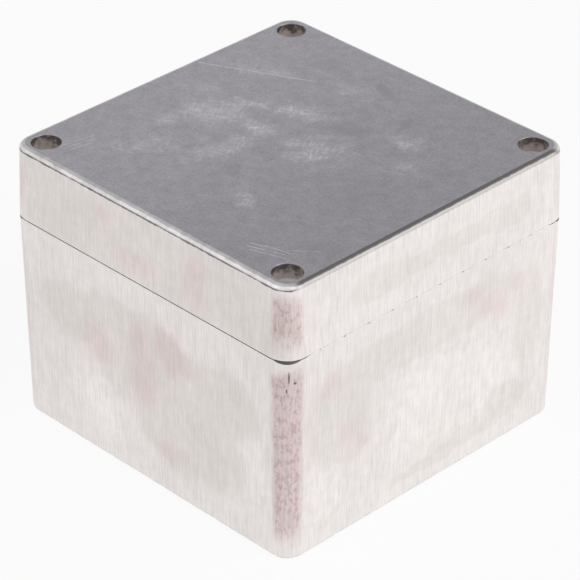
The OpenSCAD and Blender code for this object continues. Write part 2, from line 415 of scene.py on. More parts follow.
def build_scratch(tree, given):
    """A straight scratch: 1 on the line from start to end, and nought from its width on."""
    way = vector(tree, "SUBTRACT", given["End"], given["Start"])
    apart = vector(tree, "SUBTRACT", given["Place"], given["Start"])
    along = calc(tree, "DIVIDE", vector(tree, "DOT_PRODUCT", apart, way),
                 vector(tree, "DOT_PRODUCT", way, way), clamp=True)
    off = vector(tree, "LENGTH", vector(tree, "SUBTRACT", apart, scaled(tree, way, along)))
    return {"Mask": calc(tree, "SUBTRACT", 1.0, calc(tree, "DIVIDE", off, given["Width"]), clamp=True)}


def build_lines(tree, given):
    """Fine upright lines, as a belt leaves them: two noises drawn out along the height."""
    coarse = noise(tree, vector(tree, "MULTIPLY", given["Place"], (1.0, 1.0, 0.05)), 2100.0, 3.0, 0.6)
    fine = noise(tree, vector(tree, "MULTIPLY", given["Place"], (1.0, 1.0, 0.03)), 4600.0, 2.0, 0.5)
    both = plus(tree, times(tree, coarse, 0.6), times(tree, fine, 0.4))
    return {"Lines": ramp(tree, both, 0.34, 0.66)}


def build_skin(tree, given):
    """The skin of a casting: slow clouds, fine grain, sparse pits and pale flecks."""
    place = given["Place"]
    cloud = noise(tree, place, 70.0, 5.0, 0.62)
    grain = noise(tree, place, 1400.0, 3.0, 0.6)
    cells = add(tree, "ShaderNodeTexVoronoi", {"Vector": place, "Scale": 420.0}).outputs
    sparse = ramp(tree, noise(tree, place, 160.0, 2.0), 0.56, 0.66)
    pits = times(tree, ramp(tree, cells["Distance"], 0.05, 0.22, 1.0, 0.0), sparse)
    height = minus(tree, times(tree, grain, 0.6), pits)
    dots = add(tree, "ShaderNodeTexVoronoi", {"Vector": place, "Scale": 210.0}).outputs
    few = ramp(tree, split(tree, dots["Color"])[0], 0.90, 0.93)
    flecks = times(tree, ramp(tree, dots["Distance"], 0.03, 0.10, 1.0, 0.0), few)
    return {"Cloud": cloud, "Grain": grain, "Pits": pits, "Flecks": flecks, "Height": height}


PLACE = ("Place", "v")
WANDER = make_group("wander", [PLACE, ("Scale", "f"), ("Amount", "f")], [PLACE], build_wander)
PATCH = make_group("skin_patch", [PLACE, ("Centre", "v"), ("Radii", "v"), ("Angle", "f"), ("Strength", "f")],
                   [("Field", "f")], build_patch)
SMEAR = make_group("rub_smear", [PLACE, ("Field", "f")], [("Mask", "f")], build_smear)
SCRATCH = make_group("scratch", [PLACE, ("Start", "v"), ("End", "v"), ("Width", "f")],
                     [("Mask", "f")], build_scratch)
LINES = make_group("linish_lines", [PLACE], [("Lines", "f")], build_lines)
SKIN = make_group("cast_skin", [PLACE],
                  [("Cloud", "f"), ("Grain", "f"), ("Pits", "f"), ("Flecks", "f"), ("Height", "f")],
                  build_skin)


def start_finish(name, metallic):
    """A new finish with its shader, and the tree and Object coordinates that feed it."""
    finish = bpy.data.materials.new(name)
    finish.use_nodes = True
    tree = finish.node_tree
    shader = tree.nodes["Principled BSDF"]
    shader.inputs["Metallic"].default_value = metallic
    place = tree.nodes.new("ShaderNodeTexCoord").outputs["Object"]
    return finish, tree, shader, place


def feed(tree, shader, colour, roughness, height, depth):
    """Links colour and roughness, and a bump whose full height is depth millimetres."""
    tree.links.new(colour, shader.inputs["Base Color"])
    tree.links.new(roughness, shader.inputs["Roughness"])
    bump = add(tree, "ShaderNodeBump", {"Strength": 1.0, "Distance": depth * MM, "Height": height})
    tree.links.new(bump.outputs[0], shader.inputs["Normal"])


# ---- patches that the linishing left on the outer faces, partly painted shade and painted sheen, in millimetres ----
# (along the face, height, half width, half height, strength). Where a side sank as it
# cooled, its skin stays duller, and its colour also holds painted shade and painted sheen of
# these shallow hollows; patches that touch make one patch.
FACES = {"front": (0, -1), "right": (1, 0), "back": (0, 1), "left": (-1, 0)}
DULL_AND_SHADED = {
    "front": [(-29, 39.5, 11, 9, 1), (-6, 42, 27, 8.5, 1), (-2, 32, 19, 13, 1), (27.5, 37.5, 12.5, 10.5, 1),
              (15, 21, 21, 14, 1), (0, 70, 70, 18, 1)],
    "right": [(0, 46.8, 42, 7, 1), (-32, 37, 12, 15, 1), (-28, 27, 8, 7, 1), (36.5, 34, 5.5, 18, 1),
              (30, 13, 9, 5, 1), (22, 9, 14, 3.5, 1), (2, 6.5, 17, 2.2, 0.6), (-18, 68.5, 12, 4.6, 1),
              (28, 68.5, 9, 4.2, 1), (5, 68.5, 32, 3, 1)],
    "back": [(-20, 40, 20, 9, 1), (22, 36, 14, 13, 1), (0, 18, 24, 9, 1), (5, 68, 26, 4, 1)],
    "left": [(0, 45, 36, 7, 1), (30, 30, 9, 15, 1), (-30, 28, 9, 13, 1), (-6, 12, 20, 5, 0.8),
             (-12, 69, 18, 4, 1)],
}
ROSY = {
    "front": [(-19, 34, 6.5, 5.5, 1), (-2, 31, 6, 10, 1), (10, 43, 8.5, 6.5, 1), (-3, 40, 4, 7, 0.8),
              (7, 13, 4, 3, 0.6), (-4, 65, 8, 4, 0.6), (18, 69, 4, 8, 0.6), (-15, 73, 3.5, 3, 0.6)],
    "right": [(-36, 46.5, 4.5, 4, 0.5), (15, 49.5, 6, 3, 0.5), (21, 45, 5.5, 3.2, 0.5),
              (26, 41, 4.5, 3.2, 0.5), (32, 47, 4.5, 3, 0.4), (-28, 29, 5, 4, 0.4), (-24, 25, 3, 3, 0.4)],
    "back": [(8, 38, 9, 6, 1), (-24, 30, 6, 6, 1)],
    "left": [(12, 40, 8, 5, 1), (-20, 34, 6, 6, 1)],
}
BRIGHT = {
    "front": [(-19, 15, 9.5, 11, 1), (38.5, 24, 4, 11, 1)],
    "right": [(8, 23.5, 27, 15.5, 1), (-37, 13, 7, 8, 0.6)],
    "back": [(-4, 28, 18, 9, 1)],
    "left": [(0, 28, 20, 9, 1)],
}
# Nicks in the rounded corner between +X and -Y: (x, y, height, radius along each axis).
NICKS = [(48.55, -47.91, 54.0, 0.30, 0.30, 2.4), (49.35, -46.68, 52.5, 0.5, 0.5, 0.5),
         (48.1, -48.3, 50.3, 0.3, 0.3, 0.9)]
# Rubs and stains on the lid's top: (x, y, half length, half width, angle in degrees, strength).
RUBS = [
    (-25, -2.4, 14, 9, 14, 1.0), (-10, 13, 13, 6, 26, 0.8), (-21, 7.5, 8, 2.4, 10, 0.9),
    (-11, 0, 8, 5, 0, 1.0), (7, 1, 11.5, 10.5, 20, 0.9), (-10.4, -15, 13, 4.6, 82, 0.8),
    (-30.5, -14, 4.5, 4, 0, 0.7), (19, 20.4, 8.5, 4.6, 20, 0.7), (12, -27, 8, 4.4, -20, 0.7),
    (-7, 30, 6.5, 5, 0, 0.6), (-36, 4, 7, 4, 20, 0.6), (-22, -24, 16, 8, 40, 0.45),
    (27, 12, 9, 5, 30, 0.3), (-34, 21, 17, 3.0, 26, 0.5),
]
STAINS = [
    (5.5, 16, 7, 5, 0, 1.0), (-2, 36.3, 5.5, 2.2, -28, 1.0), (14, 27, 1.6, 5, 12, 1.0),
    (0, -19, 2.2, 4.5, 35, 1.0), (-21, 37, 9, 6, 0, 0.5), (41, -29, 7, 6, 0, 0.7),
    (30, -8, 12, 20, 0, 0.4),
]
# Scratches on the lid's top: (start, end, width).
SCRATCHES = [
    ((-47, 13), (-18, 27.3), 0.26), ((-12, 3.5), (-14, 9), 0.18), ((6, -4), (12, 1.5), 0.24),
    ((28, -41.6), (37, -38.2), 0.2), ((29.5, -42.4), (38.5, -39.2), 0.16),
    ((27.5, -40.2), (33, -38.2), 0.18), ((31, -38.4), (38, -36.8), 0.14),
    ((-39, -42), (-37, -31), 0.16), ((-37.4, -41), (-35.6, -33), 0.14),
    ((-36, -41.5), (-34.6, -35), 0.14), ((24, 6), (31, 9), 0.12), ((-30, -33), (-22, -31), 0.12),
    ((36, -36.5), (43, -30.5), 0.14),
]

# ---- colours; each SHARE multiplies the colour it lies on, and so do DRIFTED and the strip's ----
LINISHED = (0.865, 0.820, 0.803)
DRIFTED = (0.94, 0.94, 0.935)
# the next three shares are partly the sides' own tone and partly painted shade and painted sheen of shallow
# hollows
DULL_AND_SHADE_SHARE = (0.935, 0.930, 0.922)
ROSY_SHARE = (0.972, 0.910, 0.915)
BRIGHT_SHARE = (1.05, 1.05, 1.05)
STRIP_LIGHT = (0.86, 0.775, 0.785)
STRIP_DARK = (0.66, 0.545, 0.555)
NICK_SHARE = (0.30, 0.27, 0.27)
# painted shade on the lid's rounded top edge where linished metal reaches it
EDGE_SHADE_SHARE = (0.50, 0.49, 0.485)
# the lid top's grey: partly its smooth skin, partly a painted dim reflection
TOP_SKIN_AND_DIM_REFLECTION = (0.292, 0.278, 0.308)
SMEARED = (0.60, 0.592, 0.612)
STAINED = (0.215, 0.205, 0.225)
# the next four colours paint light on the lid's rounded top edge: its base, a painted highlight, a painted
# shade line and a painted dark reflection
EDGE_SATIN = (0.45, 0.44, 0.45)
EDGE_HIGHLIGHT = (0.64, 0.615, 0.61)
EDGE_SHADE_LINE = (0.20, 0.19, 0.19)
EDGE_DARK_REFLECTION = (0.115, 0.110, 0.112)
INSIDE = (0.44, 0.43, 0.42)
INSIDE_DULL = (0.60, 0.585, 0.565)
PIT = (0.225, 0.220, 0.245)
# painted light in the counterbores: a lit wall, its painted shade and a painted glint
BORE_LIT = (0.66, 0.585, 0.56)
BORE_SHADE = (0.16, 0.135, 0.13)
BORE_GLINT = (1.0, 0.98, 0.95)
# painted shade of the joint, with dirt, on the base's corner flats
JOINT_SHADE_AND_DIRT = (0.11, 0.105, 0.10)


# ---- the castings' finish ----

def outward_distance(tree, x, y):
    """How far out a point lies in plan, on rounded squares that share the box's corner axes."""
    past = [calc(tree, "MAXIMUM", minus(tree, axis, CORE * MM), 0.0) for axis in (x, y)]
    squares = plus(tree, times(tree, past[0], past[0]), times(tree, past[1], past[1]))
    return plus(tree, calc(tree, "SQRT", squares), CORE * MM)


def patch_field(tree, place, centre, radii, angle=0.0, strength=1.0):
    """The field of one oval patch, in millimetres and degrees."""
    return use(tree, PATCH, Place=place, Centre=tuple(v * MM for v in centre),
               Radii=tuple(r * MM for r in radii), Angle=-math.radians(angle), Strength=strength)["Field"]


def side_field(tree, place, table, low, high, depth=6.0):
    """The strongest of a table's patches between two heights, each only meeting its own side."""
    fields = []
    for side, patches in table.items():
        nx, ny = FACES[side]
        for along, height, half_along, half_height, strength in patches:
            if low < height < high:
                if nx == 0:
                    centre, radii = (along, ny * HALF_WIDTH, height), (half_along, depth, half_height)
                else:
                    centre, radii = (nx * HALF_WIDTH, along, height), (depth, half_along, half_height)
                fields.append(patch_field(tree, place, centre, radii, 0.0, strength))
    return strongest(tree, fields) if fields else -1.0


def top_field(tree, place, table):
    """The strongest of a table's patches on the lid's top, which reach well down through it."""
    reach_down = 30.0
    return strongest(tree, [
        patch_field(tree, place, (x, y, LID_TOP), (half_length, half_width, reach_down), angle, strength)
        for x, y, half_length, half_width, angle, strength in table])


def corner_strip(tree, place, wavy, blotch, fray, strip_from, strip_to):
    """Where the upright corners keep their skin, plainest between +X and -Y, and its dark mottle."""
    px, py, _ = split(tree, place)[:3]
    narrowest = calc(tree, "MINIMUM", calc(tree, "ABSOLUTE", px), calc(tree, "ABSOLUTE", py))
    corner = beyond(tree, plus(tree, narrowest, fray), CORE + 0.5, 1.0)
    height = split(tree, wavy)[2]
    upright = times(tree, beyond(tree, height, strip_from, 4.0), within(tree, height, strip_to, 2.5))
    leading = ramp(tree, minus(tree, px, py), 86 * MM, 92 * MM, 0.22, 1.0)
    fine = noise(tree, vector(tree, "MULTIPLY", place, (1, 1, 0.45)), 1300.0, 4.0, 0.7)
    mottle = ramp(tree, plus(tree, times(tree, fine, 0.6), times(tree, blotch, 0.4)), 0.44, 0.60)
    return times(tree, corner, upright, leading), mottle


def linished_sides(tree, place, low, high, strip_from, strip_to, fray):
    """Colour, dullness with painted shade and sheen, strip of skin and bump height of a casting's outer
    sides.
    """
    wavy = use(tree, WANDER, Place=place, Scale=150.0, Amount=7.0 * MM)["Place"]
    lines = use(tree, LINES, Place=place)["Lines"]
    blotch = noise(tree, place, 330.0, 4.0, 0.65)
    drift = ramp(tree, noise(tree, place, 38.0, 3.0), 0.3, 0.7)
    ragged = spread(tree, blotch, 0.8)

    def patches(table, start, end):
        return ramp(tree, plus(tree, side_field(tree, wavy, table, low, high), ragged), start, end)

    # the duller, rosier and brighter patches are partly the faces' own skin and partly painted shade and
    # painted sheen of their shallow hollows
    dull_and_shaded = patches(DULL_AND_SHADED, -0.12, 0.24)
    metal = share(tree, times(tree, drift, 0.8), LINISHED, DRIFTED)
    metal = share(tree, dull_and_shaded, metal, DULL_AND_SHADE_SHARE)
    metal = share(tree, patches(ROSY, -0.16, 0.42), metal, ROSY_SHARE)
    metal = share(tree, patches(BRIGHT, -0.10, 0.45), metal, BRIGHT_SHARE)
    metal = scaled(tree, metal, swing(tree, lines, minus(tree, 0.15, times(tree, dull_and_shaded, 0.03))))
    metal = scaled(tree, metal, swing(tree, blotch, 0.20))

    strip, mottle = corner_strip(tree, place, wavy, blotch, fray, strip_from, strip_to)
    dark_strip = times(tree, strip, mottle)
    metal = share(tree, times(tree, strip, minus(tree, 1.0, mottle)), metal, STRIP_LIGHT)
    metal = share(tree, dark_strip, metal, STRIP_DARK)
    nicks = [patch_field(tree, place, nick[:3], nick[3:]) for nick in NICKS if low < nick[2] < high]
    if nicks:
        metal = share(tree, ramp(tree, strongest(tree, nicks), 0.0, 0.5), metal, NICK_SHARE)
    bump = minus(tree, times(tree, lines, 0.45), times(tree, dark_strip, 1.2))
    return metal, dull_and_shaded, strip, bump


def lid_top(tree, place, skin, fray, outward, facing_x):
    """Colour, wear and cloud of the lid's top, whose dark grey is partly its smooth skin and partly a
    painted dim reflection, and of its rounded edge, which is painted highlight and painted shade.
    """
    px, _, z = split(tree, place)[:3]
    wavy = use(tree, WANDER, Place=place, Scale=210.0, Amount=5.0 * MM)["Place"]
    blotch = noise(tree, place, 300.0, 5.0, 0.68)
    # painted reflection: the top grows darker from -X to +X
    top = scaled(tree, TOP_SKIN_AND_DIM_REFLECTION, ramp(tree, px, -46 * MM, 48 * MM, 1.06, 0.90))
    top = scaled(tree, top, swing(tree, blotch, 0.62))
    top = scaled(tree, top, swing(tree, skin["Grain"], 0.60))
    stained = ramp(tree, top_field(tree, wavy, STAINS), 0.0, 0.6)
    top = blend(tree, times(tree, stained, 0.45), top, STAINED)
    smeared = use(tree, SMEAR, Place=place, Field=top_field(tree, wavy, RUBS))["Mask"]
    scratched = strongest(tree, [
        use(tree, SCRATCH, Place=place, Width=width * MM, Start=(*(v * MM for v in start), LID_TOP * MM),
            End=(*(v * MM for v in end), LID_TOP * MM))["Mask"]
        for start, end, width in SCRATCHES])
    broken = ramp(tree, noise(tree, place, 420.0, 2.0), 0.36, 0.56)
    worn = strongest(tree, [times(tree, smeared, 0.62), times(tree, scratched, broken, 0.9),
                            times(tree, skin["Flecks"], 0.7)])
    top = blend(tree, worn, top, SMEARED)

    # the edge round the top is painted light: a painted dark reflection on +X, elsewhere a painted highlight
    # band with a painted shade line under it
    ragged = plus(tree, minus(tree, LID_TOP * MM, z), fray)
    edge = blend(tree, beyond(tree, ragged, 0.32, 0.10), EDGE_SATIN, EDGE_HIGHLIGHT)
    edge = blend(tree, beyond(tree, ragged, 1.035, 0.085), edge, EDGE_SHADE_LINE)
    edge = scaled(tree, edge, swing(tree, blotch, 1.0))
    edge = blend(tree, facing_x, edge, EDGE_DARK_REFLECTION)
    on_edge = beyond(tree, plus(tree, outward, fray), HALF_WIDTH - 2.1, 0.15)
    return blend(tree, on_edge, top, edge), worn, blotch


def bored_holes(tree, place, x, y, z, high, colour):
    """The counterbores: drilled walls in painted shade, dark near the mouth, mottled and lit further down,
    with a painted glint deepest, by the screw's head.
    """
    off_x, off_y = (minus(tree, axis, SCREW_AXIS * MM) for axis in (x, y))
    from_axis = calc(tree, "SQRT", plus(tree, times(tree, off_x, off_x), times(tree, off_y, off_y)))
    in_bore = times(tree, within(tree, from_axis, BORE_RADIUS + 0.125, 0.075),
                    beyond(tree, z, high - 8.95, 0.05))
    # painted shade: the bore is dark near its mouth and lit further down, mottled by noise; a painted glint
    # lies deepest
    shade_reach = 3.2
    depth = times(tree, minus(tree, z, high * MM), 1 / (shade_reach * MM))
    bore_shade = minus(tree, depth, spread(tree, noise(tree, place, 420.0, 3.0, 0.6), 3.0))
    bore = blend(tree, ramp(tree, bore_shade, -1.0, -0.15), BORE_LIT, BORE_SHADE)
    bore = blend(tree, within(tree, z, high - 4.15, 0.25), bore, BORE_GLINT)
    return blend(tree, in_bore, colour, bore)


def joint_flats(tree, x, y, z, high, colour):
    """The flats dressed on the base's upper corners: painted shade of the joint over them, with its dirt."""
    diagonal = minus(tree, times(tree, plus(tree, x, y), math.sqrt(0.5)), CORE * math.sqrt(2) * MM)
    flat = minus(tree, (high + RELIEF_TOP) * MM, times(tree, diagonal, RELIEF_SLOPE))
    apart = calc(tree, "ABSOLUTE", minus(tree, z, flat))
    on_flat = times(tree, within(tree, apart, 0.065, 0.035), beyond(tree, diagonal, 4.85, 0.05))
    return blend(tree, on_flat, colour, JOINT_SHADE_AND_DIRT)


def casting_finish(name, low, high, foot_edge, top_edge, strip_from, strip_to, has_top):
    """Bare die cast metal: linished outer sides, pale grainy skin inside, drilled holes in painted shade,
    on a base corner flats in painted shade and dirt, and on a lid a smooth dark top, partly a painted
    dim reflection, with painted light on its rounded edge. low and high bound the casting's sides,
    foot_edge and top_edge are what its rounded edges take off them, and the strip of skin runs up its
    corners between two heights."""
    finish, tree, shader, place = start_finish(name, 0.7)
    px, py, z = split(tree, place)[:3]
    x, y = calc(tree, "ABSOLUTE", px), calc(tree, "ABSOLUTE", py)
    fray = spread(tree, noise(tree, place, 520.0, 3.0), 0.8 * MM)
    skin = use(tree, SKIN, Place=place)

    outward = outward_distance(tree, x, y)
    outer = beyond(tree, outward, HALF_WIDTH - 3.0, 0.05)
    frayed = plus(tree, z, fray)
    # the belt went higher on +X, over most of the rounded edge, which is darkened there as painted shade
    facing_x = beyond(tree, minus(tree, px, y), 3.0, 1.5)
    below_top = within(tree, frayed, high - top_edge, 0.12)
    if has_top:
        belted = within(tree, plus(tree, z, times(tree, fray, 0.4)), high - 0.45, 0.17)
        below_top = blend_value(tree, facing_x, below_top, belted)
    above_foot = beyond(tree, frayed, low + foot_edge, 0.15)
    sides = times(tree, below_top, above_foot, outer)
    metal, dull_and_shaded, strip, side_bump = linished_sides(tree, place, low, high, strip_from, strip_to, fray)
    # painted shade: linished metal on the lid's rounded top edge is darkened
    metal = share(tree, beyond(tree, z, high - top_edge + 0.2, 0.3), metal, EDGE_SHADE_SHARE)

    colour = blend(tree, ramp(tree, skin["Cloud"], 0.35, 0.65), INSIDE, INSIDE_DULL)
    colour = blend(tree, times(tree, skin["Pits"], 0.5), colour, PIT)
    roughness = plus(tree, 0.5, times(tree, skin["Cloud"], 0.12))
    bump_height = times(tree, skin["Height"], 1.2)
    if has_top:
        up_here = beyond(tree, z, high - top_edge - 1.1, 0.1)
        top, worn, cloud = lid_top(tree, place, skin, times(tree, fray, 0.5), outward, facing_x)
        satin = plus(tree, plus(tree, 0.33, times(tree, cloud, 0.14)), times(tree, worn, 0.14))
        colour = blend(tree, up_here, colour, top)
        roughness = blend_value(tree, up_here, roughness, satin)
        bump_height = blend_value(tree, up_here, bump_height, times(tree, skin["Height"], 0.40))
    colour = blend(tree, sides, colour, metal)
    roughness = blend_value(tree, sides, roughness, plus(tree, 0.40, times(tree, dull_and_shaded, 0.10)))
    roughness = blend_value(tree, times(tree, strip, sides), roughness, 0.56)
    bump_height = blend_value(tree, sides, bump_height, side_bump)
    if has_top:
        colour = bored_holes(tree, place, x, y, z, high, colour)
    else:
        colour = joint_flats(tree, x, y, z, high, colour)
    feed(tree, shader, colour, roughness, bump_height, 0.012)
    return finish


# ---- the small parts' finishes ----

def turned_finish(name, light, dark, rough, scale=900.0):
    """Turned or pressed small metal: tool rings about the upright, faint stains and fine grain."""
    finish, tree, shader, place = start_finish(name, 1.0)
    rings = noise(tree, vector(tree, "MULTIPLY", place, (0.25, 0.25, 1.6)), scale, 3.0)
    stain = noise(tree, place, 240.0, 4.0)
    colour = blend(tree, ramp(tree, stain, 0.35, 0.7), light, dark)
    colour = blend(tree, times(tree, ramp(tree, rings, 0.4, 0.7), 0.35), colour, dark)
    feed(tree, shader, colour, plus(tree, rough, times(tree, stain, 0.16)), rings, 0.004)
    return finish


def moulded_finish(name, light, dark, rough, grain_scale, depth):
    """Moulded rubber or nylon: slow drift of colour over a fine matt grain with paler tips."""
    finish, tree, shader, place = start_finish(name, 0.0)
    drift = noise(tree, place, 90.0, 3.0)
    grain = noise(tree, place, grain_scale, 3.0, 0.6)
    colour = blend(tree, ramp(tree, drift, 0.3, 0.7), light, dark)
    colour = blend(tree, times(tree, ramp(tree, grain, 0.55, 0.8), 0.3), colour, light)
    feed(tree, shader, colour, plus(tree, rough, times(tree, grain, 0.18)), grain, depth)
    return finish


base_alloy = casting_finish("base_alloy_finish", 0.0, RIM_TOP, foot_edge=BASE_EDGE * 0.6, top_edge=-2.0,
                            strip_from=6.0, strip_to=55.5, has_top=False)
lid_alloy = casting_finish("lid_alloy_finish", LID_BOTTOM, LID_TOP, foot_edge=-1.0, top_edge=LID_EDGE,
                           strip_from=63.0, strip_to=75.5, has_top=True)
screw_steel = turned_finish("screw_steel_finish", (0.62, 0.62, 0.63), (0.44, 0.43, 0.42), rough=0.28)
washer_steel = turned_finish("washer_steel_finish", (0.58, 0.58, 0.59), (0.40, 0.39, 0.38), rough=0.32,
                             scale=1400.0)
brass = turned_finish("terminal_brass_finish", (0.78, 0.71, 0.53), (0.62, 0.54, 0.38), rough=0.26)
rubber = moulded_finish("gasket_rubber_finish", (0.050, 0.050, 0.052), (0.028, 0.028, 0.030),
                        rough=0.62, grain_scale=2600.0, depth=0.02)
nylon = moulded_finish("ring_nylon_finish", (0.80, 0.78, 0.70), (0.72, 0.69, 0.60),
                       rough=0.42, grain_scale=1800.0, depth=0.008)


# ---- castings ----

def even_corners(piece, low, high, draft):
    """Takes a piece's modifiers into its mesh, and shades its upright corner arcs as the cones they
    are: each normal points out from the corner's axis, tilted by the draft."""
    steepest, thickness = 0.35, 2.0
    graph = bpy.context.evaluated_depsgraph_get()
    mesh = bpy.data.meshes.new_from_object(piece.evaluated_get(graph), depsgraph=graph)
    mesh.name = piece.name
    piece.modifiers.clear()
    piece.data = mesh

    def read(items, field, width, kind=float):
        values = np.empty(len(items) * width, kind)
        items.foreach_get(field, values)
        return values.reshape(-1, width) if width > 1 else values

    face_of = np.repeat(np.arange(len(mesh.polygons)), read(mesh.polygons, "loop_total", 1, int))
    facing = read(mesh.polygons, "normal", 3)[face_of]
    centre = read(mesh.polygons, "center", 3)[face_of] / MM
    point = read(mesh.vertices, "co", 3)[read(mesh.loops, "vertex_index", 1, int)] / MM
    normals = read(mesh.corner_normals, "vector", 3)
    out = np.sign(centre[:, :2]) * np.maximum(np.abs(point[:, :2]) - CORE, 0.0)
    reach = np.hypot(out[:, 0], out[:, 1])
    on_side = (np.abs(facing[:, 2]) < steepest) & (centre[:, 2] > low) & (centre[:, 2] < high)
    on_arc = on_side & (np.abs(centre[:, :2]) > CORE).all(1) & (reach > CORNER_RADIUS - thickness)
    level = math.cos(math.radians(draft)) / np.maximum(reach, 1e-6)
    cone = np.column_stack([out * level[:, None], np.full(len(out), math.sin(math.radians(draft)))])
    normals[on_arc] = cone[on_arc]
    mesh.normals_split_custom_set(normals.tolist())


def dressed_casting(node, name, body, finish, low, high, draft):
    """A copy of a casting with its facets joined, shaded smooth between its edges and flat on its
    faces. low and high bound its upright sides, which lean in by draft degrees."""
    joined, sharp = 0.4, 32.0
    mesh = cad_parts[node].data.copy()
    work = bmesh.new()
    work.from_mesh(mesh)
    bmesh.ops.remove_doubles(work, verts=work.verts, dist=MERGE_DISTANCE)
    bmesh.ops.dissolve_limit(work, angle_limit=math.radians(joined), verts=work.verts, edges=work.edges)
    work.to_mesh(mesh)
    work.free()
    if mesh.has_custom_normals:
        mesh.normals_split_custom_set_from_vertices([(0, 0, 0)] * len(mesh.vertices))
    mesh.shade_smooth()
    mesh.set_sharp_from_angle(angle=math.radians(sharp))
    piece = bpy.data.objects.new(name, mesh)
    bpy.context.scene.collection.objects.link(piece)
    level = piece.modifiers.new("flat_faces_lead", "WEIGHTED_NORMAL")
    level.keep_sharp = True
    level.weight = 100
    even_corners(piece, low, high, draft)
    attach(piece, body)
    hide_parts(node)
    wear(piece, finish)


def dragged_lip(name, reach, finish):
    """A burr along the rim on +X: its height over the rim is the joint's gap times a sum of sines
    along Y, and falls to nothing at both ends."""
    samples, root, skin = 420, 0.1, 0.012
    length = 2 * CORE - 1.0
    along = np.linspace(-length / 2, length / 2, samples)
    waves = (0.80 + 0.07 * np.sin(along * 0.9) + 0.06 * np.sin(along * 2.3 + 1.0)
             + 0.07 * np.sin(along * 5.1 + 2.0))
    torn = np.clip(6.0 * (np.sin(along * 0.37 + 0.6) * np.sin(along * 1.9) + 0.93), 0.25, 1.0)
    ends = np.clip((length / 2 - np.abs(along)) / 1.5, 0.0, 1.0)
    rise = SEAM_GAP * waves * torn * ends
    inner, outer = np.full_like(along, HALF_WIDTH - reach), np.full_like(along, HALF_WIDTH - skin)
    x = np.stack([inner, outer, HALF_WIDTH - skin - 0.1 * rise, inner], 1)
    z = RIM_TOP + np.stack([-root + 0 * rise, -root + 0 * rise, rise, 0.7 * rise], 1)
    points = np.stack([x, np.repeat(along[:, None], 4, 1), z], -1)
    shut = [np.repeat(end.mean(0, keepdims=True), 4, 0)[None] for end in (points[0], points[-1])]
    points = np.concatenate([shut[0], points, shut[1]])
    solid_piece(name, [(points, grid_quads(len(points), 4, True))], "base", "base_casting",
                finish, sharp=25)


dressed_casting("base_casting", "base_shell", "base", base_alloy,
                low=BASE_EDGE, high=LID_BOTTOM, draft=BASE_DRAFT)
dressed_casting("lid_casting", "lid_shell", "lid", lid_alloy,
                low=LID_BOTTOM, high=LID_TOP - LID_EDGE, draft=LID_DRAFT)
dragged_lip("rim_burr", reach=0.3, finish=base_alloy)


# ---- small parts ----

def captive_screw(number, cx, cy):
    """A cheese head screw, its slot along Y, in the corner with the signs cx and cy."""
    node = f"lid_screw_{number}"
    low, high = node_box(node)
    seat = high.z - HEAD_HEIGHT
    axis = (cx * SCREW_AXIS, cy * SCREW_AXIS, seat)
    surfaces = [threaded_shank(seat - low.z, axis),
                slotted_head((high.x - low.x) / 2, HEAD_HEIGHT, axis, math.pi / 2)]
    solid_piece(f"captive_screw_{number}", surfaces, f"screw_{number}", node, screw_steel,
                edge=0.12)


def captive_ring(number, cx, cy):
    """A nylon ring round a screw's shank, with chamfered edges."""
    node = f"retaining_ring_{number}"
    low, high = node_box(node)
    outer, inner, tall, chamfer = (high.x - low.x) / 2, THREAD_RADIUS + 0.03, high.z - low.z, 0.2
    section = [(inner, chamfer), (inner + chamfer, 0), (outer - chamfer, 0), (outer, chamfer),
               (outer, tall - chamfer), (outer - chamfer, tall), (inner + chamfer, tall),
               (inner, tall - chamfer), (inner, chamfer)]
    surface = revolved(section, (cx * SCREW_AXIS, cy * SCREW_AXIS, low.z))
    solid_piece(f"captive_ring_{number}", [surface], f"ring_{number}", node, nylon, sharp=30)


def gasket_cord():
    """The gasket: a D section with a blunt nose below, carried round the seal's course."""
    low, high = node_box("lid_gasket")
    course = seal_course()
    path = np.column_stack([course, np.full(len(course), low.z)])
    ahead = np.roll(course, -1, 0) - np.roll(course, 1, 0)
    ahead /= np.linalg.norm(ahead, axis=1)[:, None]
    outward = np.column_stack([ahead[:, 1], -ahead[:, 0], 0 * ahead[:, 0]])
    half, tall, chamfer = SEAL_GROOVE / 2 - 0.03, high.z - low.z, 0.3
    section = [(-half, 0.45), (-half * 0.72, 0.08), (-half * 0.3, 0.0), (half * 0.3, 0.0),
               (half * 0.72, 0.08), (half, 0.45), (half, tall - chamfer), (half - chamfer, tall),
               (-half + chamfer, tall), (-half, tall - chamfer)]
    surface = carried(section, path, outward)
    solid_piece("gasket_cord", [surface], "lid", "lid_gasket", rubber)


def earth_terminal_screw(centre):
    """A crossed screw whose head starts at centre."""
    low, high = node_box("earth_screw")
    surfaces = [threaded_shank(centre[2] - low.z, centre),
                crossed_head((high.x - low.x) / 2, EARTH_HEAD, centre)]
    solid_piece("earth_terminal_screw", surfaces, "earth_screw", "earth_screw", brass,
                sharp=40)


def earth_cable_clamp(centre):
    """A turned clamp plate round the earth screw, with a groove underneath that bites the wire."""
    low, high = node_box("earth_clamp")
    outer, inner, tall = (high.x - low.x) / 2, EARTH_HOLE, high.z - low.z
    section = [(inner, 0.15), (inner + 0.15, 0), (outer - 0.9, 0.0), (outer - 0.6, 0.25), (outer - 0.2, 0.0),
               (outer, 0.15), (outer, tall - 0.25), (outer - 0.25, tall), (inner + 0.15, tall),
               (inner, tall - 0.15), (inner, 0.15)]
    surface = revolved(section, (centre[0], centre[1], low.z))
    solid_piece("earth_cable_clamp", [surface], "earth_clamp", "earth_clamp", brass,
                sharp=30)


